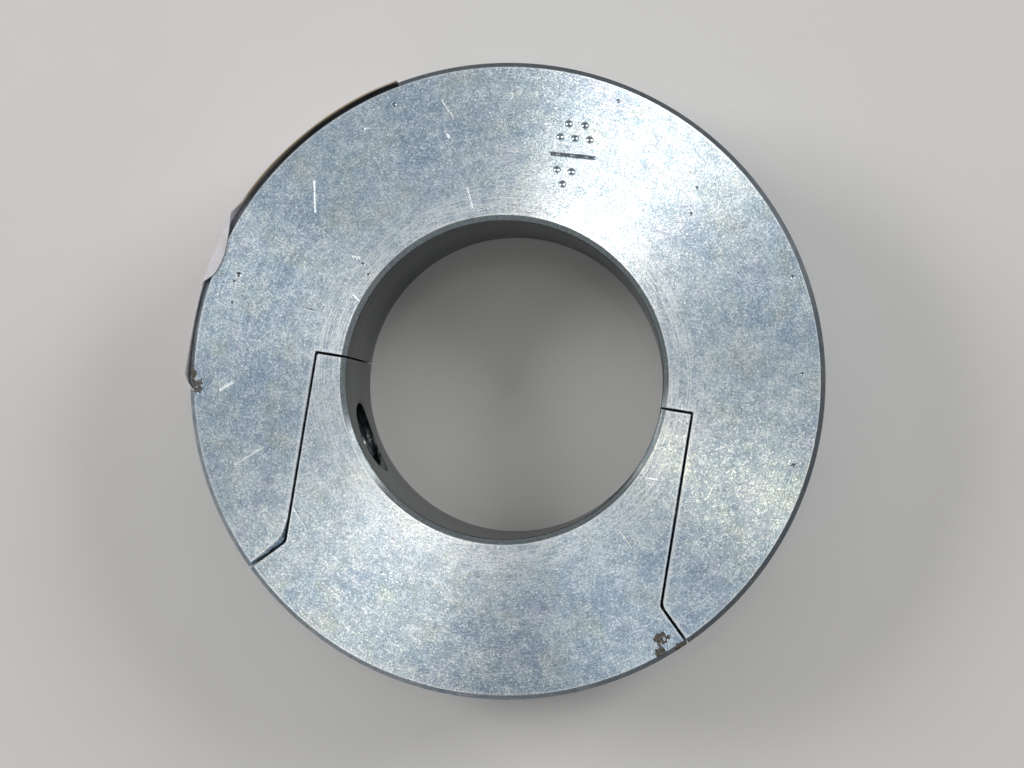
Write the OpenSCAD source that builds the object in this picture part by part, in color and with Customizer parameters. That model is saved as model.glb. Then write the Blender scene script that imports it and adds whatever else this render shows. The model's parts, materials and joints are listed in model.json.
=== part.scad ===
// Split set collar: a C-shaped steel ring, an insert that slides in between its two legs,
// and two cup point socket set screws that run through both pieces to bear on the shaft.
// The origin is the middle of the bore. +Z runs along the bore, and the insert leaves along -Y.

/* [Ring] */
// Diameter of the bore, for a 1 15/16 inch shaft
bore_d = 49.2125; // [46:0.0125:52]
// Outside diameter of the ring, 3 7/8 inches
outer_d = 98.425; // [96:0.025:106]
// Width of the ring along the shaft, 1 inch
ring_w = 25.4; // [22:0.1:32]
// Leg of the 45 degree chamfer on the ring's four edges
edge_chamfer = 0.8; // [0.4:0.1:1.2]

/* [Parting] */
// Distance between the legs' flat inner faces
slot_w = 59.2; // [57:0.1:61]
// How far below the bore's centre the insert's tips meet the ring
tip_drop = 0.3; // [0:0.1:1]
// How far the 45 degree shoulders lie below lines through the bore's centre
shoulder_drop = 0.6; // [0:0.1:2]
// Gap between the insert and the ring, all along the parting line
parting_gap = 0.3; // [0.2:0.05:0.5]

/* [Set screws] */
// Major diameter of the set screws, 1/2-13 UNC
screw_d = 12.7; // [11:0.1:13]
// Overall length of a set screw
screw_len = 12.7; // [11:0.1:13.5]
// Angle of each screw's axis below the X axis
screw_angle = 30; // [28:1:32]
// Width across the flats of the hexagon socket
hex_af = 6.35; // [5:0.05:7]
// Depth of the hexagon socket
hex_depth = 6.2; // [4:0.1:7]
// Diameter of the cup's rim
cup_d = 6.6; // [5:0.1:8]
// Leg of the chamfer round the socket end
screw_chamfer = 0.9; // [0.3:0.1:1.5]
// Radial clearance of a screw in its hole
thread_clearance = 0.05; // [0.02:0.01:0.1]
// Distance from the bore's centre to a backed-out screw's tip
tip_radius = 36.4; // [36.3:0.1:37]

/* [Label] */
// Thickness of the paper label
label_t = 0.2; // [0.1:0.05:0.3]
// Gap between the label and the ring
label_gap = 0.1; // [0.05:0.05:0.3]
// Angle round the ring where the label starts, from +X
label_start = 118; // [100:1:125]
// Angle round the ring that the label covers
label_span = 73; // [60:1:80]
// Height that the label leaves bare at the ring's lower edge
label_lift = 1.4; // [1:0.1:4]
// Angle round the ring where the folded margin starts, from +X
fold_start = 155; // [126:1:156]
// Angle round the ring that the folded margin covers
fold_span = 17; // [5:1:18]

/* [Hidden] */
$fn = 96;

bore_r = bore_d / 2;
outer_r = outer_d / 2;
half_w = ring_w / 2;
screw_r = screw_d / 2;
cup_r = cup_d / 2;
cup_depth = cup_r * tan(31);
left_angle = 180 + screw_angle;
right_angle = -screw_angle;
beyond = 1;
zinc = [0.72, 0.75, 0.78];
black_oxide = [0.16, 0.16, 0.17];
paper = [0.93, 0.92, 0.88];

// Outline of the space between the legs, drawn in by gap on every side. It starts at the
// insert's tips, follows the flat sides down and flares out along the 45 degree shoulders.
function parting_outline(gap) =
    let (
        half = slot_w / 2 - gap,
        top = -tip_drop - gap,
        drop = shoulder_drop + gap * sqrt(2),
        far = outer_d
    )
    [
        [-half, top], [half, top],
        [half, -half - drop], [far, -far - drop],
        [-far, -far - drop], [-half, -half - drop]
    ];

module parting_prism(gap) {
    linear_extrude(height = 2 * ring_w, center = true) polygon(parting_outline(gap));
}

// The whole ring before it is split: a rectangular section with four chamfered corners
module full_ring() {
    c = edge_chamfer;
    rotate_extrude()
        polygon([
            [bore_r, -half_w + c], [bore_r + c, -half_w],
            [outer_r - c, -half_w], [outer_r, -half_w + c],
            [outer_r, half_w - c], [outer_r - c, half_w],
            [bore_r + c, half_w], [bore_r, half_w - c]
        ]);
}

// Places its children on a radius at the given angle, with their +Z pointing outwards
module on_radius(angle, distance) {
    rotate([0, 0, angle]) translate([distance, 0, 0]) rotate([0, 90, 0]) children();
}

// The two screw holes, from inside the bore to past the outside of the ring
module screw_holes() {
    start = bore_r - screw_r;
    for (angle = [left_angle, right_angle])
        on_radius(angle, start)
            cylinder(r = screw_r + thread_clearance, h = outer_r - start + beyond);
}

// A cup point socket set screw, with its tip at the origin and its socket end up
module set_screw() {
    difference() {
        rotate_extrude()
            polygon([
                [0, 0], [cup_r, 0], [screw_r, screw_r - cup_r],
                [screw_r, screw_len - screw_chamfer], [screw_r - screw_chamfer, screw_len],
                [0, screw_len]
            ]);
        translate([0, 0, -0.01]) cylinder(r1 = cup_r - 0.3, r2 = 0, h = cup_depth);
        translate([0, 0, screw_len - hex_depth])
            cylinder(d = hex_af / cos(30), h = hex_depth + beyond, $fn = 6);
    }
}

module collar_body() {
    color(zinc) difference() {
        full_ring();
        parting_prism(0);
        screw_holes();
    }
}

module collar_insert() {
    color(zinc) difference() {
        intersection() {
            full_ring();
            parting_prism(parting_gap);
        }
        screw_holes();
    }
}

module left_set_screw() {
    color(black_oxide) on_radius(left_angle, tip_radius) set_screw();
}

module right_set_screw() {
    color(black_oxide) on_radius(right_angle, tip_radius) set_screw();
}

// Sweeps a section round the Z axis, from one angle over another
module sector(start, span) {
    rotate([0, 0, start]) rotate_extrude(angle = span) children();
}

// A paper strip round the ring. Its top margin stands up beside the edge chamfer, apart from a
// stretch that is folded in against it.
module paper_label() {
    c = edge_chamfer;
    inner_r = outer_r + label_gap;
    rim_r = inner_r + label_t;
    fold_z = half_w - c;
    color(paper) {
        difference() {
            sector(label_start, label_span)
                translate([inner_r, -half_w + label_lift]) square([label_t, ring_w - label_lift]);
            sector(fold_start, fold_span) translate([outer_r, fold_z]) square(2 * c);
        }
        sector(fold_start, fold_span)
            polygon([
                [inner_r, fold_z - c], [rim_r, fold_z - c], [rim_r, fold_z],
                [rim_r - c, half_w], [inner_r - c, half_w], [inner_r, fold_z]
            ]);
    }
}

collar_body();
collar_insert();
left_set_screw();
right_set_screw();
paper_label();
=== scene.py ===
"""The looks of a split set collar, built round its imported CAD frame.

Lengths below are millimetres in the CAD frame, and become metres when a mesh is made. Angles round
the bore are degrees from +X, apart from round_arc's. The end face with the marks is the upper one.
"""

import json
import math

import bpy
import numpy as np
from mathutils import Euler, Matrix, Vector, geometry, kdtree, noise

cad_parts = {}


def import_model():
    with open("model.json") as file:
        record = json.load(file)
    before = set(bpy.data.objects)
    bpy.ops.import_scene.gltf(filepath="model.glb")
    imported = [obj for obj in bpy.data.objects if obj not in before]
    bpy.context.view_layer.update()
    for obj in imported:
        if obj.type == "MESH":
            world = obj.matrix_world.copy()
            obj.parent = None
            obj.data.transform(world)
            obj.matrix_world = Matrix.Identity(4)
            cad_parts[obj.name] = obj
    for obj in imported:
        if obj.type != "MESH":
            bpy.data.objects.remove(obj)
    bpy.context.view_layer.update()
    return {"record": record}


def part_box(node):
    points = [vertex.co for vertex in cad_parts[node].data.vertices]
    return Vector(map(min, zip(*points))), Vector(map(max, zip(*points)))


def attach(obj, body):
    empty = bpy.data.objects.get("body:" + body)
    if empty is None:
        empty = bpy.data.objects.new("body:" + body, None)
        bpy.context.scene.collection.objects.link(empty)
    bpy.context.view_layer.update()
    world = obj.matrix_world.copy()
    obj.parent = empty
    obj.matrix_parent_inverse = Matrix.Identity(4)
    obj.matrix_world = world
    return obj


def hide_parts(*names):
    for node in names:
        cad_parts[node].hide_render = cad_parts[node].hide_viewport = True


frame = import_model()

MM = 0.001

# ---------------------------------------------------------------- sizes from the frame
BORE_R = next(m for m in frame["record"]["mounts"] if m["name"] == "bore")["dims"]["r_mm"]
HALF_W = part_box("collar_body")[1].z / MM
RIM_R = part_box("collar_body")[1].y / MM

# The parting line, the screws and their holes
SLOT_HALF = 29.6
TIP_DROP = 0.3
SHOULDER_DROP = 0.6
PARTING_GAP = 0.3
SCREW_ANGLE = 30
SCREW_R = 6.35
SCREW_LEN = 12.7
TIP_RADIUS = 36.4
THREAD_PITCH = 25.4 / 13

# Edges, and the depths below an end face at which the walls have a row of vertices
BORE_CHAMFER = 0.82
RIM_CHAMFER = 0.75
EDGE_BREAK = 0.10
EDGE_DEPTHS = (0, 0.05, 0.12, 0.2, 0.32, 0.5, 0.68, 0.76, 0.84, 0.95)

# The left leg's edge is filed wide from its kink, this far up the leg and along the shoulder
FILED_WIDTH = 0.75
FILED_UP_LEG = 5.5
FILED_ALONG_SHOULDER = 4.4

# Width of one lathe mark
TOOL_FEED = 0.46

# Spacing of vertices on the upper end face, plain and round a detail. The lower face has fewer.
FACE_STEP = 0.55
DETAIL_STEP = 0.1
LOWER_FACE_SHARE = 7

# Steps along each stretch of an outline, and down the plain part of its walls
BORE_STEPS = 150
RIM_STEPS = 290
TIP_STEPS = 7
LEG_STEPS = 48
SHOULDER_STEPS = 12
WALL_STEPS = 13

# How far the corners of the parting line are rounded, at the tip and at the kink
BODY_CORNERS = (0.35, 0.8)
INSERT_CORNERS = (0.35, 0.5)


def polar(radius, angle):
    """A point at that radius and angle in degrees."""
    return radius * math.cos(math.radians(angle)), radius * math.sin(math.radians(angle))


# ---------------------------------------------------------------- outlines
def along(start, end, count):
    """Points from start up to, but not at, end."""
    start, end = np.array(start, float), np.array(end, float)
    return [start + (end - start) * i / count for i in range(count)]


def round_arc(radius, start, end, count):
    """Points on a circle from angle start up to, but not at, angle end, in radians."""
    angles = [start + (end - start) * i / count for i in range(count)]
    return [np.array((radius * math.cos(a), radius * math.sin(a))) for a in angles]


def corner(before, at, after, size, count=5):
    """A rounded corner, as a curve that leaves and rejoins its two sides size away from it."""
    before, at, after = (np.array(p, float) for p in (before, at, after))
    start = at + (before - at) / np.linalg.norm(before - at) * size
    end = at + (after - at) / np.linalg.norm(after - at) * size
    steps = [i / count for i in range(count + 1)]
    return [start * (1 - t) ** 2 + at * 2 * t * (1 - t) + end * t * t for t in steps]


def key_points(bore_r, rim_r, half, tip_y, drop):
    """The right-hand corners of the parting line: at the bore, the tip, the kink and the rim."""
    rim_x = (-drop + math.sqrt(2 * rim_r**2 - drop**2)) / 2
    return (
        (math.sqrt(bore_r**2 - tip_y**2), tip_y),
        (half, tip_y),
        (half, -half - drop),
        (rim_x, -rim_x - drop),
    )


def side_run(points, sizes):
    """From the bore corner out to the rim along one side's parting line, its corners rounded."""
    bore, tip, kink, rim = points
    at_tip = corner(bore, tip, kink, sizes[0])
    at_kink = corner(tip, kink, rim, sizes[1])
    run = along(bore, at_tip[0], TIP_STEPS) + at_tip[:-1]
    run += along(at_tip[-1], at_kink[0], LEG_STEPS) + at_kink[:-1]
    return run + along(at_kink[-1], rim, SHOULDER_STEPS) + [np.array(rim)]


def mirrored(points):
    """The same points on the left-hand side."""
    return [np.array((-p[0], p[1])) for p in points]


def angle_of(point):
    """The angle of a point in radians."""
    return math.atan2(point[1], point[0])


def body_outline(bore_in=0.0, rim_in=0.0, part_in=0.0):
    """The C-shaped ring's outline, anticlockwise, with each kind of edge drawn in that far."""
    bore_r, rim_r = BORE_R + bore_in, RIM_R - rim_in
    drop = SHOULDER_DROP - part_in * math.sqrt(2)
    keys = key_points(bore_r, rim_r, SLOT_HALF + part_in, -TIP_DROP + part_in, drop)
    run = side_run(keys, BODY_CORNERS)
    rim_angle = angle_of(keys[3])
    bore_angle = angle_of(keys[0])
    loop = round_arc(rim_r, rim_angle, math.pi - rim_angle, RIM_STEPS)
    loop += mirrored(run)[::-1]
    loop += round_arc(bore_r, math.pi - bore_angle, bore_angle, BORE_STEPS)[1:]
    return np.array(loop + run[:-1])


def insert_outline(bore_in=0.0, rim_in=0.0, part_in=0.0):
    """The insert's outline, anticlockwise, with each kind of edge drawn in that far."""
    bore_r, rim_r = BORE_R + bore_in, RIM_R - rim_in
    inset = PARTING_GAP + part_in
    drop = SHOULDER_DROP + inset * math.sqrt(2)
    keys = key_points(bore_r, rim_r, SLOT_HALF - inset, -TIP_DROP - inset, drop)
    run = side_run(keys, INSERT_CORNERS)
    rim_angle = angle_of(keys[3])
    bore_angle = angle_of(keys[0])
    loop = round_arc(rim_r, -math.pi - rim_angle, rim_angle, RIM_STEPS // 2)
    loop += run[::-1]
    loop += round_arc(bore_r, bore_angle, -math.pi - bore_angle, BORE_STEPS)[1:]
    return np.array(loop + mirrored(run)[:-1])


def slot_depth(x, y):
    """How far a point lies inside the space between the legs; below 0 outside it."""
    flat = np.minimum(SLOT_HALF - np.abs(x), -TIP_DROP - y)
    flare = (-np.abs(x) - SHOULDER_DROP - y) / math.sqrt(2)
    return np.maximum(flat, flare)


# ---------------------------------------------------------------- marks on the upper end face
class Detail:
    """A pit, scratch, flaked patch or part of the struck mark, from one point to another."""

    def __init__(self, kind, start, end, radius, depth):
        self.kind = kind
        self.start, self.end = np.array(start, float), np.array(end, float)
        self.radius, self.depth = radius, depth

    def nearness(self, points):
        """How far inside the detail each point is: 1 on its middle line, 0 at its edge."""
        line = self.end - self.start
        length = max(float(line @ line), 1e-9)
        share = np.clip((points - self.start) @ line / length, 0, 1)
        nearest = self.start + share[:, None] * line
        return 1 - np.hypot(*(points - nearest).T) / self.radius

    def points(self, step):
        """A fine grid of points over the detail and a little past its edge."""
        reach = self.radius + 2 * step
        low = np.minimum(self.start, self.end) - reach
        high = np.maximum(self.start, self.end) + reach
        grid = np.meshgrid(np.arange(low[0], high[0], step), np.arange(low[1], high[1], step))
        grid = np.stack([g.ravel() for g in grid], 1)
        return grid[self.nearness(grid) > -2 * step / self.radius]


def pit(radius_at, angle, radius, depth=0.16):
    """A round pit."""
    at = polar(radius_at, angle)
    return Detail("pit", at, at, radius, depth)


def scratch(start, end, width=0.2, depth=0.03):
    """A straight scratch, with its shallow banks."""
    banks = 0.08
    return Detail("scratch", polar(*start), polar(*end), width / 2 + banks, depth)


def rust(radius_at, angle, radius):
    """A patch where the plating has flaked."""
    at = polar(radius_at, angle)
    return Detail("rust", at, at, radius, 0.05)


# Each place is a radius and an angle round the bore
PITS = [
    pit(46.2, -7.3, 0.36), pit(45.7, 10.2, 0.3), pit(46.1, 121, 0.4), pit(28.3, 149.9, 0.3),
    pit(26.6, 151.6, 0.3), pit(44.6, 167.6, 0.45, 0.2), pit(44.9, 169.3, 0.3), pit(46.4, 76.8, 0.3),
    pit(38.4, 50.5, 0.28), pit(41.8, 53.8, 0.26), pit(46.9, 28.7, 0.32), pit(44.2, 173.4, 0.28),
]
SCRATCHES = [
    scratch((42.8, 142.9), (39.3, 147.6)), scratch((44.2, 111.6), (41.6, 110.1)),
    scratch((38.9, 112), (38.5, 111.8), 0.4), scratch((30.1, 109.8), (27.1, 109.3)),
    scratch((30.3, 149.9), (29.3, 149)), scratch((26.9, 159.6), (25.6, 160.4), 0.3),
    scratch((43.7, -153.3), (38.7, -155.1)), scratch((43.5, -142.1), (41.7, -142.2), 0.24),
    scratch((38.2, -139.1), (38.3, -133.8)), scratch((44.3, -168.7), (42.3, -170.3), 0.3),
    scratch((29, -42.9), (32.4, -43.2), 0.16), scratch((27, -24.7), (28.2, -23.4)),
    scratch((32.7, 169.6), (31.5, 169.5), 0.3, 0.06), scratch((44.6, 128.1), (44.4, 127.4), 0.3),
]

# A generic struck mark: a bar with punched dots beside it
MARK_BAR = (1.6, 35.6), (8.3, 35.9)
MARK_DOTS = (
    (2.6, 38.4), (4.9, 38.5), (7.2, 38.6), (3.6, 40.6), (6.1, 40.7), (2.9, 33.3), (5.2, 33.3),
    (4.1, 31.2),
)
MARK = [Detail("mark", *MARK_BAR, 0.3, 0.15)]
MARK += [Detail("mark", at, at, 0.6, 0.2) for at in MARK_DOTS]

RUST = [
    rust(46.3, -49.3, 1.15), rust(46.8, -48.1, 0.55), rust(48.0, -50.7, 1.0),
    rust(48.9, -47.6, 0.85), rust(49.0, -46.3, 0.7), rust(48.2, -170.2, 1.25),
    rust(47.6, -168.9, 0.9), rust(48.7, -171.6, 0.9), rust(49.0, -172.8, 0.7),
]

DETAILS = MARK + PITS + SCRATCHES + RUST


def relief(points):
    """Height of the upper end face at each point, 0 where it is untouched."""
    height = np.zeros(len(points))
    for detail in DETAILS:
        near = np.clip(detail.nearness(points), 0, 1)
        height = np.minimum(height, -detail.depth * near * near * (3 - 2 * near))
    return height


def ragged(coords, wanted):
    """Noise at the wanted points, and 0 at the others."""
    values = np.zeros(len(coords))
    for i in np.flatnonzero(wanted):
        spot = Vector(coords[i])
        values[i] = noise.noise(spot * 2.1) + 0.5 * noise.noise(spot * 5)
    return values


def paint(obj, outline):
    """Stores how much of each kind of detail lies at every vertex, for the materials to use.

    It also stores which vertices of the upper face lie on its outline.
    """
    detail_depth = 1.1
    touching = 0.01
    mesh = obj.data
    coords = np.zeros(len(mesh.vertices) * 3)
    mesh.vertices.foreach_get("co", coords)
    coords = coords.reshape(-1, 3) / MM
    upper = coords[:, 2] > HALF_W - detail_depth
    for kind in ("mark", "pit", "scratch", "rust"):
        amount = np.zeros(len(coords))
        for detail in DETAILS:
            if detail.kind == kind:
                near = detail.nearness(coords[:, :2])
                if kind == "rust":
                    near = near + 0.9 * ragged(coords, near > 0)
                amount = np.maximum(amount, near * upper)
        layer = mesh.attributes.new(kind, "FLOAT", "POINT")
        layer.data.foreach_set("value", np.clip(amount, 0, 1).astype(np.float32))
    tree = kdtree.KDTree(len(outline))
    for i, (x, y) in enumerate(outline):
        tree.insert((x, y, HALF_W), i)
    tree.balance()
    edge = np.zeros(len(coords), np.float32)
    for i in np.flatnonzero(coords[:, 2] > HALF_W - touching):
        edge[i] = tree.find(coords[i])[2] < touching
    mesh.attributes.new("edge", "FLOAT", "POINT").data.foreach_set("value", edge)


# ---------------------------------------------------------------- ring meshes
def edge_break(points, left_leg):
    """How far the parting edges are broken. The left leg's edge is filed wide at its kink."""
    width = np.full(len(points), EDGE_BREAK)
    if left_leg:
        x, y = points.T
        kink_y = -SLOT_HALF - SHOULDER_DROP
        up_the_leg = np.clip((y - kink_y) / FILED_UP_LEG, 0, 1)
        down_the_shoulder = np.clip((kink_y - y) / FILED_ALONG_SHOULDER, 0, 1)
        on_leg = (1 - up_the_leg) ** 2 * FILED_WIDTH
        on_shoulder = FILED_WIDTH - 0.4 * down_the_shoulder
        filed = np.where(y > kink_y, on_leg, on_shoulder)
        width = np.where((x < 0) & (y < kink_y + FILED_UP_LEG), np.maximum(width, filed), width)
    return width


def face_points(keep):
    """Vertices for an end face: staggered rings of points, and a fine grid round each detail."""
    points = []
    radius = BORE_R + BORE_CHAMFER + FACE_STEP
    ring = 0
    while radius < RIM_R - RIM_CHAMFER - 0.5 * FACE_STEP:
        count = round(2 * math.pi * radius / FACE_STEP)
        turn = np.arange(count) * 2 * math.pi / count + 0.5 * (ring % 2) * 2 * math.pi / count
        points.append(np.stack([radius * np.cos(turn), radius * np.sin(turn)], 1))
        radius += FACE_STEP * 0.87
        ring += 1
    points = np.concatenate(points)
    for detail in DETAILS:
        points = points[detail.nearness(points) < -FACE_STEP * 0.6 / detail.radius]
    points = [points]
    for index, detail in enumerate(DETAILS):
        fine = detail.points(DETAIL_STEP)
        for earlier in DETAILS[:index]:
            fine = fine[earlier.nearness(fine) < -2 * DETAIL_STEP / earlier.radius]
        points.append(fine)
    points = np.concatenate(points)
    return points[keep(points)]


def encloses(outline, points):
    """Which of the points lie inside the closed outline, by counting crossings."""
    x, y = points.T
    inside = np.zeros(len(points), bool)
    for (ax, ay), (bx, by) in zip(outline, np.roll(outline, -1, 0)):
        if ay != by:
            crosses = (ay > y) != (by > y)
            inside ^= crosses & (x < ax + (y - ay) * (bx - ax) / (by - ay))
    return inside


def triangulate(outline, inside):
    """Triangles that fill the outline and use every point inside it. The outline comes first."""
    points = np.concatenate([outline, inside])
    border = [list(range(len(outline)))]
    found = geometry.delaunay_2d_cdt([Vector(p) for p in points], [], border, 0, 1e-5, True)
    index = np.array([origin[0] for origin in found[3]])
    faces = index[np.array(found[2])]
    if len(index) != len(points) or len(set(index)) != len(index):
        raise RuntimeError("the end face's triangulation added or lost a point")
    faces = faces[encloses(outline, points[faces].mean(1))]
    return [tuple(int(i) for i in face) for face in faces]


def ring_piece(name, outline_at, left_leg, keep):
    """A closed ring piece: walls lofted between broken edges, and two end faces.

    Returns the object and the outline of its upper face.
    """
    unit = 0.1
    base = outline_at()
    to_bore = (outline_at(bore_in=unit) - base) / unit
    to_rim = (outline_at(rim_in=unit) - base) / unit
    to_part = (outline_at(part_in=unit) - base) / unit
    part_width = edge_break(base, left_leg)

    def level(depth):
        bore = max(0.0, BORE_CHAMFER - depth)
        rim = max(0.0, RIM_CHAMFER - depth)
        part = np.clip(part_width - depth, 0, None)[:, None]
        return base + to_bore * bore + to_rim * rim + to_part * part

    heights = [HALF_W - d for d in EDGE_DEPTHS]
    levels = [level(d) for d in EDGE_DEPTHS]
    middle = np.linspace(heights[-1], -heights[-1], WALL_STEPS + 1)[1:-1]
    heights += list(middle) + [-h for h in heights[::-1]]
    levels += [base] * len(middle) + levels[::-1]

    count = len(base)
    verts = [(x, y, z) for z, loop in zip(heights, levels) for x, y in loop]
    faces = []
    for row in range(len(heights) - 1):
        a, b = row * count, (row + 1) * count
        for i in range(count):
            j = (i + 1) % count
            faces.append((a + j, a + i, b + i, b + j))

    inside = face_points(keep)
    upper = list(range(count)) + list(range(len(verts), len(verts) + len(inside)))
    verts += [(x, y, HALF_W + h) for (x, y), h in zip(inside, relief(inside))]
    faces += [tuple(upper[i] for i in f) for f in triangulate(levels[0], inside)]
    last = (len(heights) - 1) * count
    coarse = inside[::LOWER_FACE_SHARE]
    lower = list(range(last, last + count)) + list(range(len(verts), len(verts) + len(coarse)))
    verts += [(x, y, -HALF_W) for x, y in coarse]
    faces += [tuple(lower[i] for i in f[::-1]) for f in triangulate(levels[-1], coarse)]
    return new_object(name, verts, faces), levels[0]


def new_object(name, verts, faces):
    """A mesh object from vertices in millimetres."""
    mesh = bpy.data.meshes.new(name)
    mesh.from_pydata([(x * MM, y * MM, z * MM) for x, y, z in verts], [], faces)
    mesh.validate()
    mesh.update()
    obj = bpy.data.objects.new(name, mesh)
    bpy.context.scene.collection.objects.link(obj)
    return obj


def smooth(obj, angle=28):
    """Smooth shading, with edges sharper than the angle kept crisp."""
    obj.data.polygons.foreach_set("use_smooth", [True] * len(obj.data.polygons))
    obj.data.set_sharp_from_angle(angle=math.radians(angle))


# ---------------------------------------------------------------- threads
def thread_radius(turn, height, crest, root):
    """Radius of a right-hand 60 degree thread at an angle in turns and a height along its axis."""
    phase = (height / THREAD_PITCH - turn) % 1.0
    from_root = abs(phase - 0.5) * THREAD_PITCH
    flank = root + max(0.0, from_root - THREAD_PITCH / 16) * math.sqrt(3)
    return min(crest, flank)


# Vertices round one turn of a thread, and rows of them in one pitch
THREAD_SIDES = 56
THREAD_ROWS = 12


def threaded_rod(name, low, high, crest, root, cap=None):
    """A closed threaded rod along Z. cap gives the radius that the ends' chamfers leave."""
    rows = round((high - low) / THREAD_PITCH * THREAD_ROWS)
    heights = [low + (high - low) * i / rows for i in range(rows + 1)]
    verts, faces = [], []
    for height in heights:
        for i in range(THREAD_SIDES):
            turn = i / THREAD_SIDES
            radius = thread_radius(turn, height, crest, root)
            if cap:
                radius = min(radius, cap(height))
            verts.append((*polar(radius, 360 * turn), height))
    for row in range(rows):
        for i in range(THREAD_SIDES):
            j = (i + 1) % THREAD_SIDES
            a, b = row * THREAD_SIDES, (row + 1) * THREAD_SIDES
            faces.append((a + i, a + j, b + j, b + i))
    verts += [(0, 0, low), (0, 0, high)]
    last = rows * THREAD_SIDES
    for i in range(THREAD_SIDES):
        j = (i + 1) % THREAD_SIDES
        faces += [(len(verts) - 2, j, i), (len(verts) - 1, last + i, last + j)]
    return new_object(name, verts, faces)


def on_radius(obj, angle):
    """Turns an object whose axis is Z so that the axis points out along that angle."""
    turn = Matrix.Rotation(math.radians(angle), 4, "Z") @ Matrix.Rotation(math.pi / 2, 4, "Y")
    obj.data.transform(turn)


def cut(obj, tools):
    """Cuts each tool out of the object, and deletes the tools."""
    for tool in tools:
        modifier = obj.modifiers.new("cut", "BOOLEAN")
        modifier.operation = "DIFFERENCE"
        modifier.solver = "EXACT"
        modifier.object = tool
        with bpy.context.temp_override(object=obj):
            bpy.ops.object.modifier_apply(modifier=modifier.name)
        bpy.data.objects.remove(tool)


# ---------------------------------------------------------------- materials
class Shader:
    """A material's node tree, built up with short calls that return output sockets."""

    def __init__(self, name):
        self.material = bpy.data.materials.new(name)
        self.material.use_nodes = True
        self.tree = self.material.node_tree
        self.tree.nodes.clear()
        place = self.node("ShaderNodeTexCoord").outputs["Object"]
        self.mm = self.vector("SCALE", place, scale=1 / MM)
        self.x, self.y, self.z = self.node("ShaderNodeSeparateXYZ", Vector=self.mm).outputs
        self.radius = self.vector("LENGTH", self.combine(self.x, self.y, 0.0))
        self.angle = self.math("ARCTAN2", self.y, self.x)

    def node(self, kind, options=None, **inputs):
        """A node, with its options and its inputs by name. Spaces in names are written as _."""
        node = self.tree.nodes.new(kind)
        for key, value in (options or {}).items():
            setattr(node, key, value)
        for key, value in inputs.items():
            self.feed(node.inputs[key.replace("_", " ")], value)
        return node

    def feed(self, socket, value):
        """Links an output to the socket, or sets the socket's own value."""
        if isinstance(value, bpy.types.NodeSocket):
            self.tree.links.new(value, socket)
        else:
            socket.default_value = value

    def math(self, operation, *values):
        node = self.node("ShaderNodeMath", {"operation": operation})
        for socket, value in zip(node.inputs, values):
            self.feed(socket, value)
        return node.outputs[0]

    def vector(self, operation, first, second=None, scale=None):
        node = self.node("ShaderNodeVectorMath", {"operation": operation})
        self.feed(node.inputs[0], first)
        if second is not None:
            self.feed(node.inputs[1], second)
        if scale is not None:
            self.feed(node.inputs["Scale"], scale)
        return node.outputs["Value" if operation in ("LENGTH", "DOT_PRODUCT") else "Vector"]

    def combine(self, x, y, z):
        return self.node("ShaderNodeCombineXYZ", X=x, Y=y, Z=z).outputs[0]

    def noise(self, vector, scale, detail=2.0, rough=0.5):
        inputs = {"Vector": vector, "Scale": scale, "Detail": detail, "Roughness": rough}
        return self.node("ShaderNodeTexNoise", **inputs).outputs[0]

    def cells(self, scale):
        """Random cells: the distance from each one's middle, and two chances from 0 to 1."""
        cells = self.node("ShaderNodeTexVoronoi", Vector=self.mm, Scale=scale)
        split = self.node("ShaderNodeSeparateColor", Color=cells.outputs["Color"])
        return cells.outputs["Distance"], split.outputs[0], split.outputs[1]

    def shifted(self, x, y, z=0.0):
        """The coordinates moved, so that a noise there isn't like the others."""
        return self.vector("ADD", self.mm, (x, y, z))

    def scaled(self, value, by):
        return self.math("MULTIPLY", value, by)

    def remap(self, value, low, high, to_low=0.0, to_high=1.0):
        names = {"From_Min": low, "From_Max": high, "To_Min": to_low, "To_Max": to_high}
        return self.node("ShaderNodeMapRange", Value=value, **names).outputs[0]

    def mix(self, share, first, second):
        """A mix of two colours. The numbers are the places of the colour mix's own sockets."""
        node = self.node("ShaderNodeMix", {"data_type": "RGBA"})
        for index, value in ((0, share), (6, first), (7, second)):
            if isinstance(value, tuple) and len(value) == 3:
                value = (*value, 1)
            self.feed(node.inputs[index], value)
        return node.outputs[2]

    def attribute(self, name):
        return self.node("ShaderNodeAttribute", {"attribute_name": name}).outputs["Fac"]

    def bump(self, height, distance, normal=None):
        node = self.node("ShaderNodeBump", Height=height, Distance=distance * MM, Strength=1.0)
        if normal is not None:
            self.feed(node.inputs["Normal"], normal)
        return node.outputs[0]

    def surface(self, **inputs):
        """Ends the tree with the Principled shader."""
        shader = self.node("ShaderNodeBsdfPrincipled", **inputs)
        self.node("ShaderNodeOutputMaterial", Surface=shader.outputs[0])


def fine_scratches(s):
    """Long hairline scratches in three directions."""
    lines = []
    for turn, shift in ((0.5, 0.0), (2.2, 40.0), (3.9, 90.0)):
        direction = (math.cos(turn), math.sin(turn), 0.0)
        normal_to = (-math.sin(turn), math.cos(turn), 0.0)
        lengthways = s.scaled(s.vector("DOT_PRODUCT", s.mm, direction), 0.16)
        crossways = s.math("ADD", s.scaled(s.vector("DOT_PRODUCT", s.mm, normal_to), 4.0), shift)
        streaks = s.noise(s.combine(lengthways, crossways, s.z), 1.0, 1.0, 0.5)
        lines.append(s.remap(streaks, 0.75, 0.785))
    first, second, third = lines
    return s.math("MAXIMUM", s.math("MAXIMUM", first, second), third)


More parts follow.
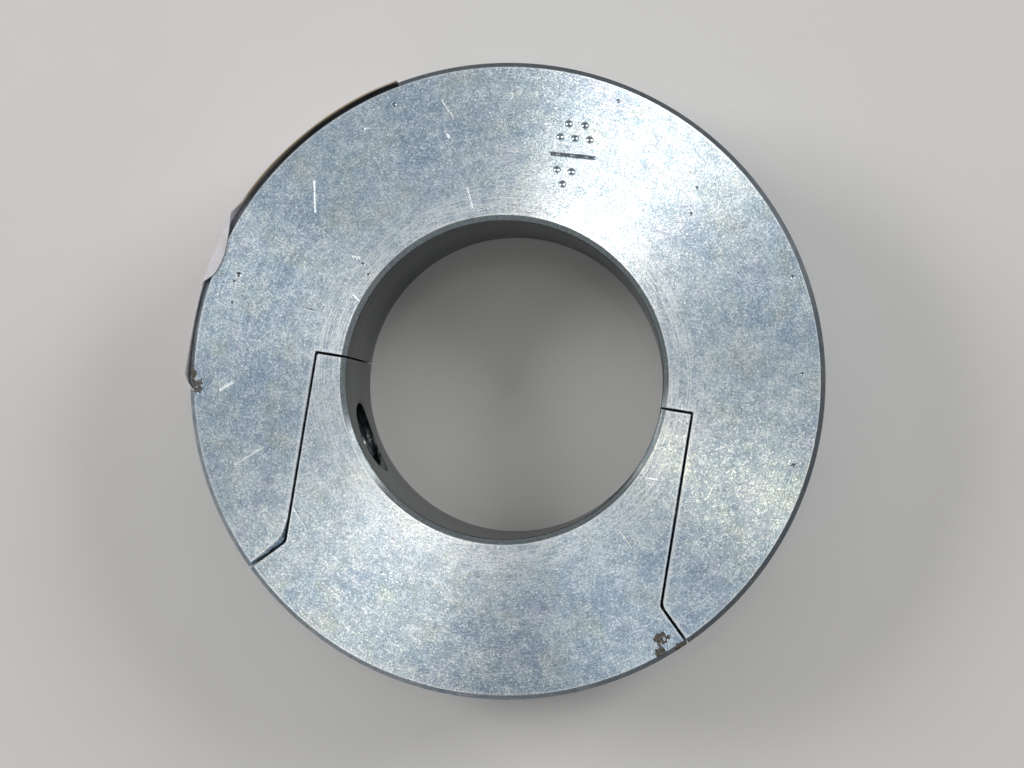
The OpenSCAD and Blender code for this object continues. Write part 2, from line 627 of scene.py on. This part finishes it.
def nicks(s):
    """Small bright nicks, crowded in some places."""
    distance, _, chance = s.cells(2.3)
    crowd = s.noise(s.shifted(71.0, 3.0), 0.22, 3.0, 0.6)
    chance = s.math("ADD", chance, s.remap(crowd, 0.45, 0.7, 0.0, 0.3))
    return s.math("MULTIPLY", s.remap(chance, 0.88, 0.92), s.remap(distance, 0.42, 0.25))


def burrs_and_painted_glint(s, grain):
    """Broken bright burrs along the outline of the upper face, partly a painted glint on the edge.
    """
    broken = s.scaled(s.math("SUBTRACT", grain, 0.5), 1.2)
    return s.remap(s.math("ADD", s.attribute("edge"), broken), 0.4, 0.8)


def screw_hole_painted_shade(s):
    """Where painted shade darkens the threads of both screw holes: 1 on them, and 0 elsewhere."""
    tilt = math.radians(SCREW_ANGLE)
    sideways = s.scaled(s.math("ABSOLUTE", s.x), math.sin(tilt))
    off_axis = s.math("ADD", sideways, s.scaled(s.y, math.cos(tilt)))
    off_axis = s.vector("LENGTH", s.combine(off_axis, s.z, 0.0))
    return s.remap(off_axis, SCREW_R + 0.16, SCREW_R + 0.08)


def on_chamfers(s, steel, cloud):
    """Painted shade on the rim's chamfer, darker towards +X and +Y and mottled like a film, and the
    brushed look of the bore's.
    """
    outer = s.math("SUBTRACT", s.math("ADD", s.radius, s.z), RIM_R + HALF_W - RIM_CHAMFER)
    outer = s.remap(outer, -0.08, -0.03)
    # Painted shade: the rim's chamfer is darkened, more towards +X and +Y, with a cloudy mottle.
    shade_side = s.scaled(s.math("ADD", s.x, s.y), 0.7 / RIM_R)
    film_and_painted_shade = s.remap(s.math("ADD", shade_side, s.scaled(cloud, 0.6)), -0.5, 0.3, 0.3, 0.82)
    steel = s.mix(s.math("MULTIPLY", outer, film_and_painted_shade), steel, (0.085, 0.10, 0.115))
    inner = s.math("SUBTRACT", s.math("SUBTRACT", s.z, s.radius), HALF_W - BORE_R - BORE_CHAMFER)
    inner = s.remap(inner, -0.08, -0.03)
    brushed = s.noise(s.combine(s.scaled(s.angle, 90.0), s.radius, s.z), 1.0, 3.0, 0.7)
    brushed = s.math("MULTIPLY", inner, s.remap(brushed, 0.3, 0.7, 0.25, 0.85))
    return s.mix(brushed, steel, (0.30, 0.36, 0.35))


def plating(s, feed, lathe, grain, cloud):
    """The colour of the plating alone: cloudy blue and yellow tints, lathe marks and crystals."""
    tint = s.noise(s.shifted(31.0, 7.0), 0.16, 3.0, 0.6)
    smear = s.noise(s.shifted(5.0, 61.0), 0.5, 4.0, 0.7)
    drift = s.scaled(s.math("SUBTRACT", smear, 0.5), 0.4)

    steel = s.mix(s.remap(cloud, 0.38, 0.62), (0.305, 0.41, 0.535), (0.45, 0.555, 0.63))
    steel = s.mix(s.remap(tint, 0.52, 0.66, 0.0, 0.5), steel, (0.48, 0.53, 0.44))
    steel = s.mix(s.remap(tint, 0.46, 0.33, 0.0, 0.35), steel, (0.42, 0.41, 0.57))
    steel = s.mix(s.remap(feed, -1.0, 1.0, 0.0, 0.12), steel, (0.15, 0.19, 0.24))
    scuffed = s.remap(s.radius, 37.0, 27.0, 0.0, 0.35)
    steel = s.mix(scuffed, steel, (0.74, 0.80, 0.82))

    speckle = s.math("ADD", grain, drift)
    steel = s.mix(s.remap(speckle, 0.49, 0.68, 0.0, 0.5), steel, (0.84, 0.89, 0.92))
    _, crystal, _ = s.cells(5.6)
    crystal = s.math("ADD", crystal, s.scaled(drift, 3.0))
    steel = s.mix(s.remap(crystal, 0.62, 0.95, 0.0, 0.58), steel, (0.86, 0.91, 0.94))
    steel = s.mix(s.remap(crystal, 0.38, 0.05, 0.0, 0.5), steel, (0.16, 0.21, 0.27))

    near_bore = s.remap(s.radius, 31.0, 28.0)
    strength = s.math("ADD", 0.12, s.scaled(near_bore, 0.55))
    rings = s.math("MULTIPLY", s.remap(lathe, 0.49, 0.6), strength)
    return s.mix(rings, steel, (0.84, 0.87, 0.87))


def zinc_material():
    """Turned steel under bright zinc, with a duller bore, painted shade on the bore's wall, in the
    screw holes and on the rim's chamfer, dirt in its pits, and flaked patches.
    """
    s = Shader("zinc_plated_steel")
    turned_at = s.combine(s.radius, s.z, s.scaled(s.angle, 0.9))
    lathe = s.noise(turned_at, 4.5, 3.0, 0.6)
    broad_lathe = s.noise(turned_at, 0.8, 2.0, 0.5)
    across_feed = s.scaled(s.radius, 2 * math.pi / TOOL_FEED)
    feed = s.math("SINE", s.math("ADD", across_feed, s.scaled(broad_lathe, 2.5)))
    grain = s.noise(s.mm, 7.2, 2.0, 0.8)
    cloud = s.noise(s.mm, 0.11, 5.0, 0.62)
    steel = plating(s, feed, lathe, grain, cloud)

    on_face = s.remap(s.z, HALF_W - 0.3, HALF_W - 0.2)
    hairlines = s.scaled(s.math("MULTIPLY", fine_scratches(s), on_face), 0.55)
    bright = s.math("MAXIMUM", s.remap(s.attribute("scratch"), 0.15, 0.8), hairlines)
    # Bright burrs along the face's outline, partly a painted glint on the edge.
    bright = s.math("MAXIMUM", bright, s.scaled(burrs_and_painted_glint(s, grain), 0.6))
    bright = s.math("MAXIMUM", bright, s.scaled(nicks(s), 0.8))
    steel = s.mix(s.scaled(bright, 0.85), steel, (0.93, 0.95, 0.95))
    steel = on_chamfers(s, steel, cloud)

    # Painted shade: the bore's wall is darkened to nearly black, over its duller reamed tone.
    on_bore = s.remap(s.radius, BORE_R + 0.1, BORE_R + 0.03)
    reaming = s.remap(s.math("ADD", lathe, broad_lathe), 0.8, 1.2)
    reamed_and_painted_shade = s.mix(reaming, (0.035, 0.045, 0.044), (0.15, 0.175, 0.17))
    steel = s.mix(s.scaled(on_bore, 0.9), steel, reamed_and_painted_shade)
    # Painted shade: the threads of both screw holes are darkened.
    steel = s.mix(s.scaled(screw_hole_painted_shade(s), 0.7), steel, (0.045, 0.05, 0.048))

    in_pits = s.remap(s.attribute("pit"), 0.1, 0.7)
    in_mark = s.remap(s.attribute("mark"), 0.45, 1.0, 0.0, 0.3)
    dirt = s.math("MAXIMUM", in_pits, in_mark)
    specks = s.noise(s.shifted(9.0, 9.0, 70.0), 1.3, 2.0, 0.6)
    specks = s.remap(specks, 0.73, 0.76, 0.0, 0.8)
    dirt = s.math("MAXIMUM", dirt, s.math("MULTIPLY", specks, on_face))
    steel = s.mix(s.scaled(dirt, 0.85), steel, (0.09, 0.09, 0.08))
    flaked = s.remap(s.attribute("rust"), 0.24, 0.34)
    crumbs = s.remap(s.noise(s.mm, 3.0, 4.0, 0.7), 0.4, 0.62)
    crust = s.mix(crumbs, (0.045, 0.04, 0.035), (0.19, 0.175, 0.155))
    colour = s.mix(flaked, steel, crust)

    rough = s.remap(grain, 0.3, 0.7, 0.17, 0.27)
    rough = s.math("ADD", rough, s.remap(lathe, 0.3, 0.7, -0.05, 0.05))
    rough = s.math("ADD", rough, s.scaled(flaked, 0.4))
    metallic = s.math("SUBTRACT", 1.0, s.scaled(flaked, 0.9))
    normal = s.bump(lathe, 0.005)
    normal = s.bump(broad_lathe, 0.010, normal)
    normal = s.bump(feed, 0.0006, normal)
    normal = s.bump(grain, 0.0005, normal)

    # The lathe marks run round the bore, and so does the tangent of the anisotropic gloss
    turning = s.combine(s.scaled(s.y, -1.0), s.x, 0.0)
    to_world = {"vector_type": "VECTOR", "convert_from": "OBJECT", "convert_to": "WORLD"}
    tangent = s.node("ShaderNodeVectorTransform", to_world, Vector=turning).outputs[0]
    s.surface(
        Base_Color=colour, Metallic=metallic, Roughness=rough, Anisotropic=0.9,
        Anisotropic_Rotation=0.25, Tangent=tangent, Normal=normal,
    )
    return s.material


def black_oxide_material():
    """Black oxide on alloy steel, uneven with oil, and bare on the ground cup point."""
    s = Shader("black_oxide_steel")
    speckle = s.noise(s.mm, 3.5, 4.0, 0.7)
    colour = s.mix(s.remap(speckle, 0.35, 0.7), (0.025, 0.025, 0.027), (0.09, 0.09, 0.095))
    bare = s.remap(s.radius, TIP_RADIUS + 0.9, TIP_RADIUS + 0.5)
    colour = s.mix(bare, colour, (0.5, 0.5, 0.48))
    rough = s.remap(speckle, 0.3, 0.7, 0.28, 0.5)
    s.surface(Base_Color=colour, Metallic=0.9, Roughness=rough, Normal=s.bump(speckle, 0.01))
    return s.material


def paper_material():
    """Off-white label paper: fibres, faint stains and a browned edge where glue shows."""
    s = Shader("paper")
    fibre = s.noise(s.combine(s.scaled(s.angle, 60.0), s.radius, s.z), 1.4, 4.0, 0.7)
    stain = s.noise(s.mm, 0.35, 3.0, 0.6)
    colour = s.mix(s.remap(fibre, 0.3, 0.7), (0.62, 0.60, 0.63), (0.78, 0.76, 0.79))
    colour = s.mix(s.remap(stain, 0.55, 0.75, 0.0, 0.4), colour, (0.55, 0.48, 0.38))
    colour = s.mix(s.attribute("browned"), colour, (0.38, 0.30, 0.20))
    s.surface(Base_Color=colour, Roughness=0.85, Normal=s.bump(fibre, 0.02))
    return s.material


def floor_material():
    """A plain pale matt surface with a very faint mottle."""
    s = Shader("floor")
    mottle = s.noise(s.mm, 0.05, 3.0, 0.5)
    colour = s.mix(mottle, (0.72, 0.70, 0.68), (0.75, 0.73, 0.71))
    s.surface(Base_Color=colour, Roughness=0.8)
    return s.material


# ---------------------------------------------------------------- pieces
def finish_piece(obj, material, body, node):
    """Gives a piece its material, and has it ride on its body in place of its CAD node.

    Each material is named after the record's slot, before any number that Blender adds.
    """
    obj.data.materials.append(material)
    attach(obj, body)
    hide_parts(node)


# Thread sizes of the screws and of their holes
SCREW_CREST = SCREW_R - 0.03
SCREW_ROOT = 5.3
HOLE_CREST = SCREW_R + 0.05
HOLE_ROOT = 5.5

# The screws' socket with its drilled end, and their cup points
HEX_ACROSS = 6.35
HEX_DEPTH = 6.2
DRILL_R = HEX_ACROSS / 2 - 0.1
DRILL_DEPTH = 1.4
SOCKET_CHAMFER = 0.9
CUP_R = 3.3
CUP_DEPTH = 1.9
POINTED = 0.02


def screw_direction(side):
    """The angle of a screw's axis round the bore: side is 1 on the right and -1 on the left."""
    return 90 - side * (90 + SCREW_ANGLE)


def tapped_hole(side):
    """The tool that cuts one threaded hole through the ring and the insert."""
    tool = threaded_rod("tap", BORE_R - 8, RIM_R + 1, HOLE_CREST, HOLE_ROOT)
    on_radius(tool, screw_direction(side))
    return tool


def make_ring(name, outline_at, left_leg, keep, material, body, node):
    """The ring or the insert, with both screw holes cut. keep picks its upper face's points."""
    obj, face_outline = ring_piece(name, outline_at, left_leg, keep)
    cut(obj, [tapped_hole(1), tapped_hole(-1)])
    smooth(obj)
    paint(obj, face_outline)
    finish_piece(obj, material, body, node)


def set_screw(name, side, material, body, node):
    """A threaded cup point set screw with a hexagon socket, in its backed-out place."""
    low, high = TIP_RADIUS, TIP_RADIUS + SCREW_LEN
    floor_at = high - HEX_DEPTH

    def cap(height):
        return min(CUP_R + height - low, SCREW_R - SOCKET_CHAMFER + high - height)

    screw = threaded_rod(name, low, high, SCREW_CREST, SCREW_ROOT, cap)
    socket = prism("socket", 6, HEX_ACROSS / 2 / math.cos(math.pi / 6), floor_at, high + 1)
    drill = prism("drill", 32, DRILL_R, floor_at - DRILL_DEPTH, floor_at + 0.01, POINTED)
    cup = prism("cup", 48, CUP_R - 0.2, low - 0.01, low + CUP_DEPTH, 1.0, POINTED)
    cut(screw, [socket, drill, cup])
    on_radius(screw, screw_direction(side))
    smooth(screw, 35)
    finish_piece(screw, material, body, node)


def prism(name, sides, radius, low, high, low_scale=1.0, high_scale=1.0):
    """A prism along Z, tapered by the scales of its two ends."""
    ends = ((low, low_scale), (high, high_scale))
    verts = [(*polar(radius * k, 360 * i / sides), z) for z, k in ends for i in range(sides)]
    faces = [(i, (i + 1) % sides, sides + (i + 1) % sides, sides + i) for i in range(sides)]
    faces += [tuple(range(sides))[::-1], tuple(range(sides, 2 * sides))]
    return new_object(name, verts, faces)


# The label. Its tables say how far out it stands at angles round the ring.
LABEL_THICK = 0.2
LABEL_LOW = -11.3
LABEL_TOP = HALF_W - 0.25
LABEL_START = 119.0
LABEL_END = 191.4
LABEL_WALL = RIM_R + 0.12
# The length of its top part that leans out to the radius in the table below
LABEL_BEND = 3.5
# Radius of its top edge, or of its fold
LABEL_RIM = (
    (119, 49.34), (140, 49.36), (147, 49.45), (155, 49.5), (157.7, 50.1), (162, 49.75),
    (166.6, 49.5), (171.8, 49.5), (175.5, 49.4), (179.2, 49.4), (183.5, 49.5), (187.1, 49.8),
    (188.4, 49.9), (189.5, 49.55), (190.6, 48.9), (191.5, 48.2),
)
# How far the folded margin reaches inwards from the fold
LABEL_FOLD = (
    (157.7, 0.02), (159.5, 0.6), (161.1, 1.05), (163, 1.4), (164.8, 1.7), (167.2, 1.65),
    (168.9, 1.4), (170.2, 0.8), (171.2, 0.02),
)
FOLD_LIFT = 0.42
FOLD_SHARES = (0.15, 0.35, 0.6, 0.8, 1.0)
# How brown its top edge is with old glue
LABEL_BROWN = ((119, 0.6), (125, 1), (153, 1), (157.5, 0), (172, 0), (180, 0.15))


def table_at(table, angle):
    """The table's value at an angle in degrees."""
    return float(np.interp(angle, [a for a, _ in table], [v for _, v in table]))


def label_section(angle):
    """The label's section at an angle, as radius and height up from its lower edge."""
    rim = table_at(LABEL_RIM, angle)
    steps = 16
    points = []
    for i in range(steps + 1):
        height = LABEL_LOW + (LABEL_TOP - LABEL_LOW) * i / steps
        lean = max(0.0, 1 - (LABEL_TOP - height) / LABEL_BEND)
        ripple = 0.05 * noise.noise(Vector((angle * 0.18, height * 0.25, 3)))
        radius = LABEL_WALL + max(0.0, ripple) + (rim - LABEL_WALL) * lean**1.7
        points.append((radius, height))
    if LABEL_FOLD[0][0] < angle < LABEL_FOLD[-1][0]:
        fold = table_at(LABEL_FOLD, angle)
        for t in FOLD_SHARES:
            rise = FOLD_LIFT * math.sin(min(1, t * 2.2) * math.pi / 2)
            points.append((rim - fold * t, LABEL_TOP + rise))
    else:
        points += [(rim, LABEL_TOP + 0.03 * (i + 1)) for i in range(len(FOLD_SHARES))]
    return points


def paper_label(material):
    """A thin closed sheet that follows the ring, with a folded margin and a curled end."""
    step = 0.6
    count = round((LABEL_END - LABEL_START) / step)
    angles = [LABEL_START + (LABEL_END - LABEL_START) * i / count for i in range(count + 1)]
    sections = [label_section(a) for a in angles]
    across = len(sections[0])
    verts, faces = [], []
    for side in (0, 1):
        for angle, section in zip(angles, sections):
            for i, (radius, height) in enumerate(section):
                before, after = section[max(i - 1, 0)], section[min(i + 1, across - 1)]
                slope = np.array((after[1] - before[1], before[0] - after[0]))
                out = slope / max(np.linalg.norm(slope), 1e-9) * LABEL_THICK * side
                verts.append((*polar(radius + out[0], angle), height + out[1]))
    layer = len(sections) * across
    for side in (0, 1):
        for a in range(count):
            for i in range(across - 1):
                p = side * layer + a * across + i
                face = (p, p + across, p + across + 1, p + 1)
                faces.append(face if side else face[::-1])
    rim = [(a * across, (a + 1) * across) for a in range(count)]
    rim += [(count * across + i, count * across + i + 1) for i in range(across - 1)]
    rim += [((a + 2) * across - 1, (a + 1) * across - 1) for a in reversed(range(count))]
    rim += [(i + 1, i) for i in reversed(range(across - 1))]
    faces += [(p, q, q + layer, p + layer) for p, q in rim]
    label = new_object("label", verts, faces)

    amounts = []
    for x, y, z in verts:
        edge = np.clip((z - HALF_W + 1.2) / 0.9, 0, 1)
        amounts.append(float(edge * table_at(LABEL_BROWN, math.degrees(angle_of((x, y))) % 360)))
    label.data.attributes.new("browned", "FLOAT", "POINT").data.foreach_set("value", amounts)
    smooth(label, 60)
    finish_piece(label, material, "collar", "paper_label")


# ---------------------------------------------------------------- stage, camera and lights
def floor(material):
    """A square floor just under the ring, large enough to pass every view's edge."""
    size = 9000
    z = -HALF_W - 0.02
    corners = [(-size, -size, z), (size, -size, z), (size, size, z), (-size, size, z)]
    obj = new_object("floor", corners, [(0, 1, 2, 3)])
    obj.data.materials.append(material)


def camera():
    """A long-lens view from almost straight above, from right of the bore."""
    data = bpy.data.cameras.new("camera")
    data.lens = 62.65
    data.sensor_width = 36
    data.clip_start = 0.01
    obj = bpy.data.objects.new("camera", data)
    obj.location = Vector((24.16, -5.09, 286.07)) * MM
    obj.rotation_euler = Euler((0.03, 0.079, 0.16284))
    bpy.context.scene.collection.objects.link(obj)
    bpy.context.scene.camera = obj


def softbox(name, place, size, power, colour=(1, 1, 1)):
    """A soft light. One that stands far to a side is aimed at the bore, the others point down."""
    far_aside = 600
    data = bpy.data.lights.new(name, "AREA")
    data.shape = "RECTANGLE"
    data.size = size[0] * MM
    data.size_y = size[1] * MM
    data.energy = power
    data.color = colour
    obj = bpy.data.objects.new(name, data)
    obj.location = Vector(place) * MM
    if max(abs(place[0]), abs(place[1])) > far_aside:
        obj.rotation_euler = (-obj.location).to_track_quat("-Z", "Y").to_euler()
    bpy.context.scene.collection.objects.link(obj)


def world():
    """A soft surround, brighter towards the horizon than overhead."""
    horizon, overhead = (0.1, 0.38), (0.6, 0.17)
    sky = bpy.data.worlds.new("world")
    sky.use_nodes = True
    nodes, links = sky.node_tree.nodes, sky.node_tree.links
    place = nodes.new("ShaderNodeTexCoord")
    split = nodes.new("ShaderNodeSeparateXYZ")
    fade = nodes.new("ShaderNodeMapRange")
    fade.inputs["From Min"].default_value, fade.inputs["To Min"].default_value = horizon
    fade.inputs["From Max"].default_value, fade.inputs["To Max"].default_value = overhead
    links.new(place.outputs["Generated"], split.inputs[0])
    links.new(split.outputs["Z"], fade.inputs["Value"])
    background = nodes["Background"]
    background.inputs["Color"].default_value = (0.95, 0.97, 1.0, 1)
    links.new(fade.outputs[0], background.inputs["Strength"])
    bpy.context.scene.world = sky


def body_face(points):
    """Which points lie on the ring's end face, clear of its parting edge."""
    return slot_depth(*points.T) < -0.95


def insert_face(points):
    """Which points lie on the insert's end face, clear of its parting edge."""
    return slot_depth(*points.T) > 0.8


# ---------------------------------------------------------------- the scene
zinc = zinc_material()
oxide = black_oxide_material()
make_ring("ring", body_outline, True, body_face, zinc, "collar", "collar_body")
make_ring("insert", insert_outline, False, insert_face, zinc, "insert", "collar_insert")
set_screw("screw_left", -1, oxide, "left_screw", "left_set_screw")
set_screw("screw_right", 1, oxide, "right_screw", "right_set_screw")
paper_label(paper_material())
floor(floor_material())
camera()
world()

# Place and size in millimetres, and power in watts. The small ones stand lower than the large
# ones, because a large light would hide a small one at its own height.
COOL = (0.94, 0.98, 1)
softbox("overhead", (-100, 360, 1200), (1300, 1080), 2.22, COOL)
softbox("fill", (380, -380, 1200), (500, 400), 0.3, COOL)
softbox("key", (-15, 224, 1100), (130, 130), 0.36, (1, 0.93, 0.84))
softbox("answer", (-168, -138, 1100), (135, 135), 0.15, (1, 0.95, 0.86))
softbox("warm", (101, -31, 1100), (50, 50), 0.065, (1, 0.86, 0.56))
softbox("low", (14, -150, 1080), (90, 90), 0.045, (0.96, 0.98, 1))
softbox("left", (-1000, 200, 700), (500, 500), 6)
softbox("right", (800, 700, 700), (500, 500), 6)
bpy.context.scene.view_settings.view_transform = "Standard"
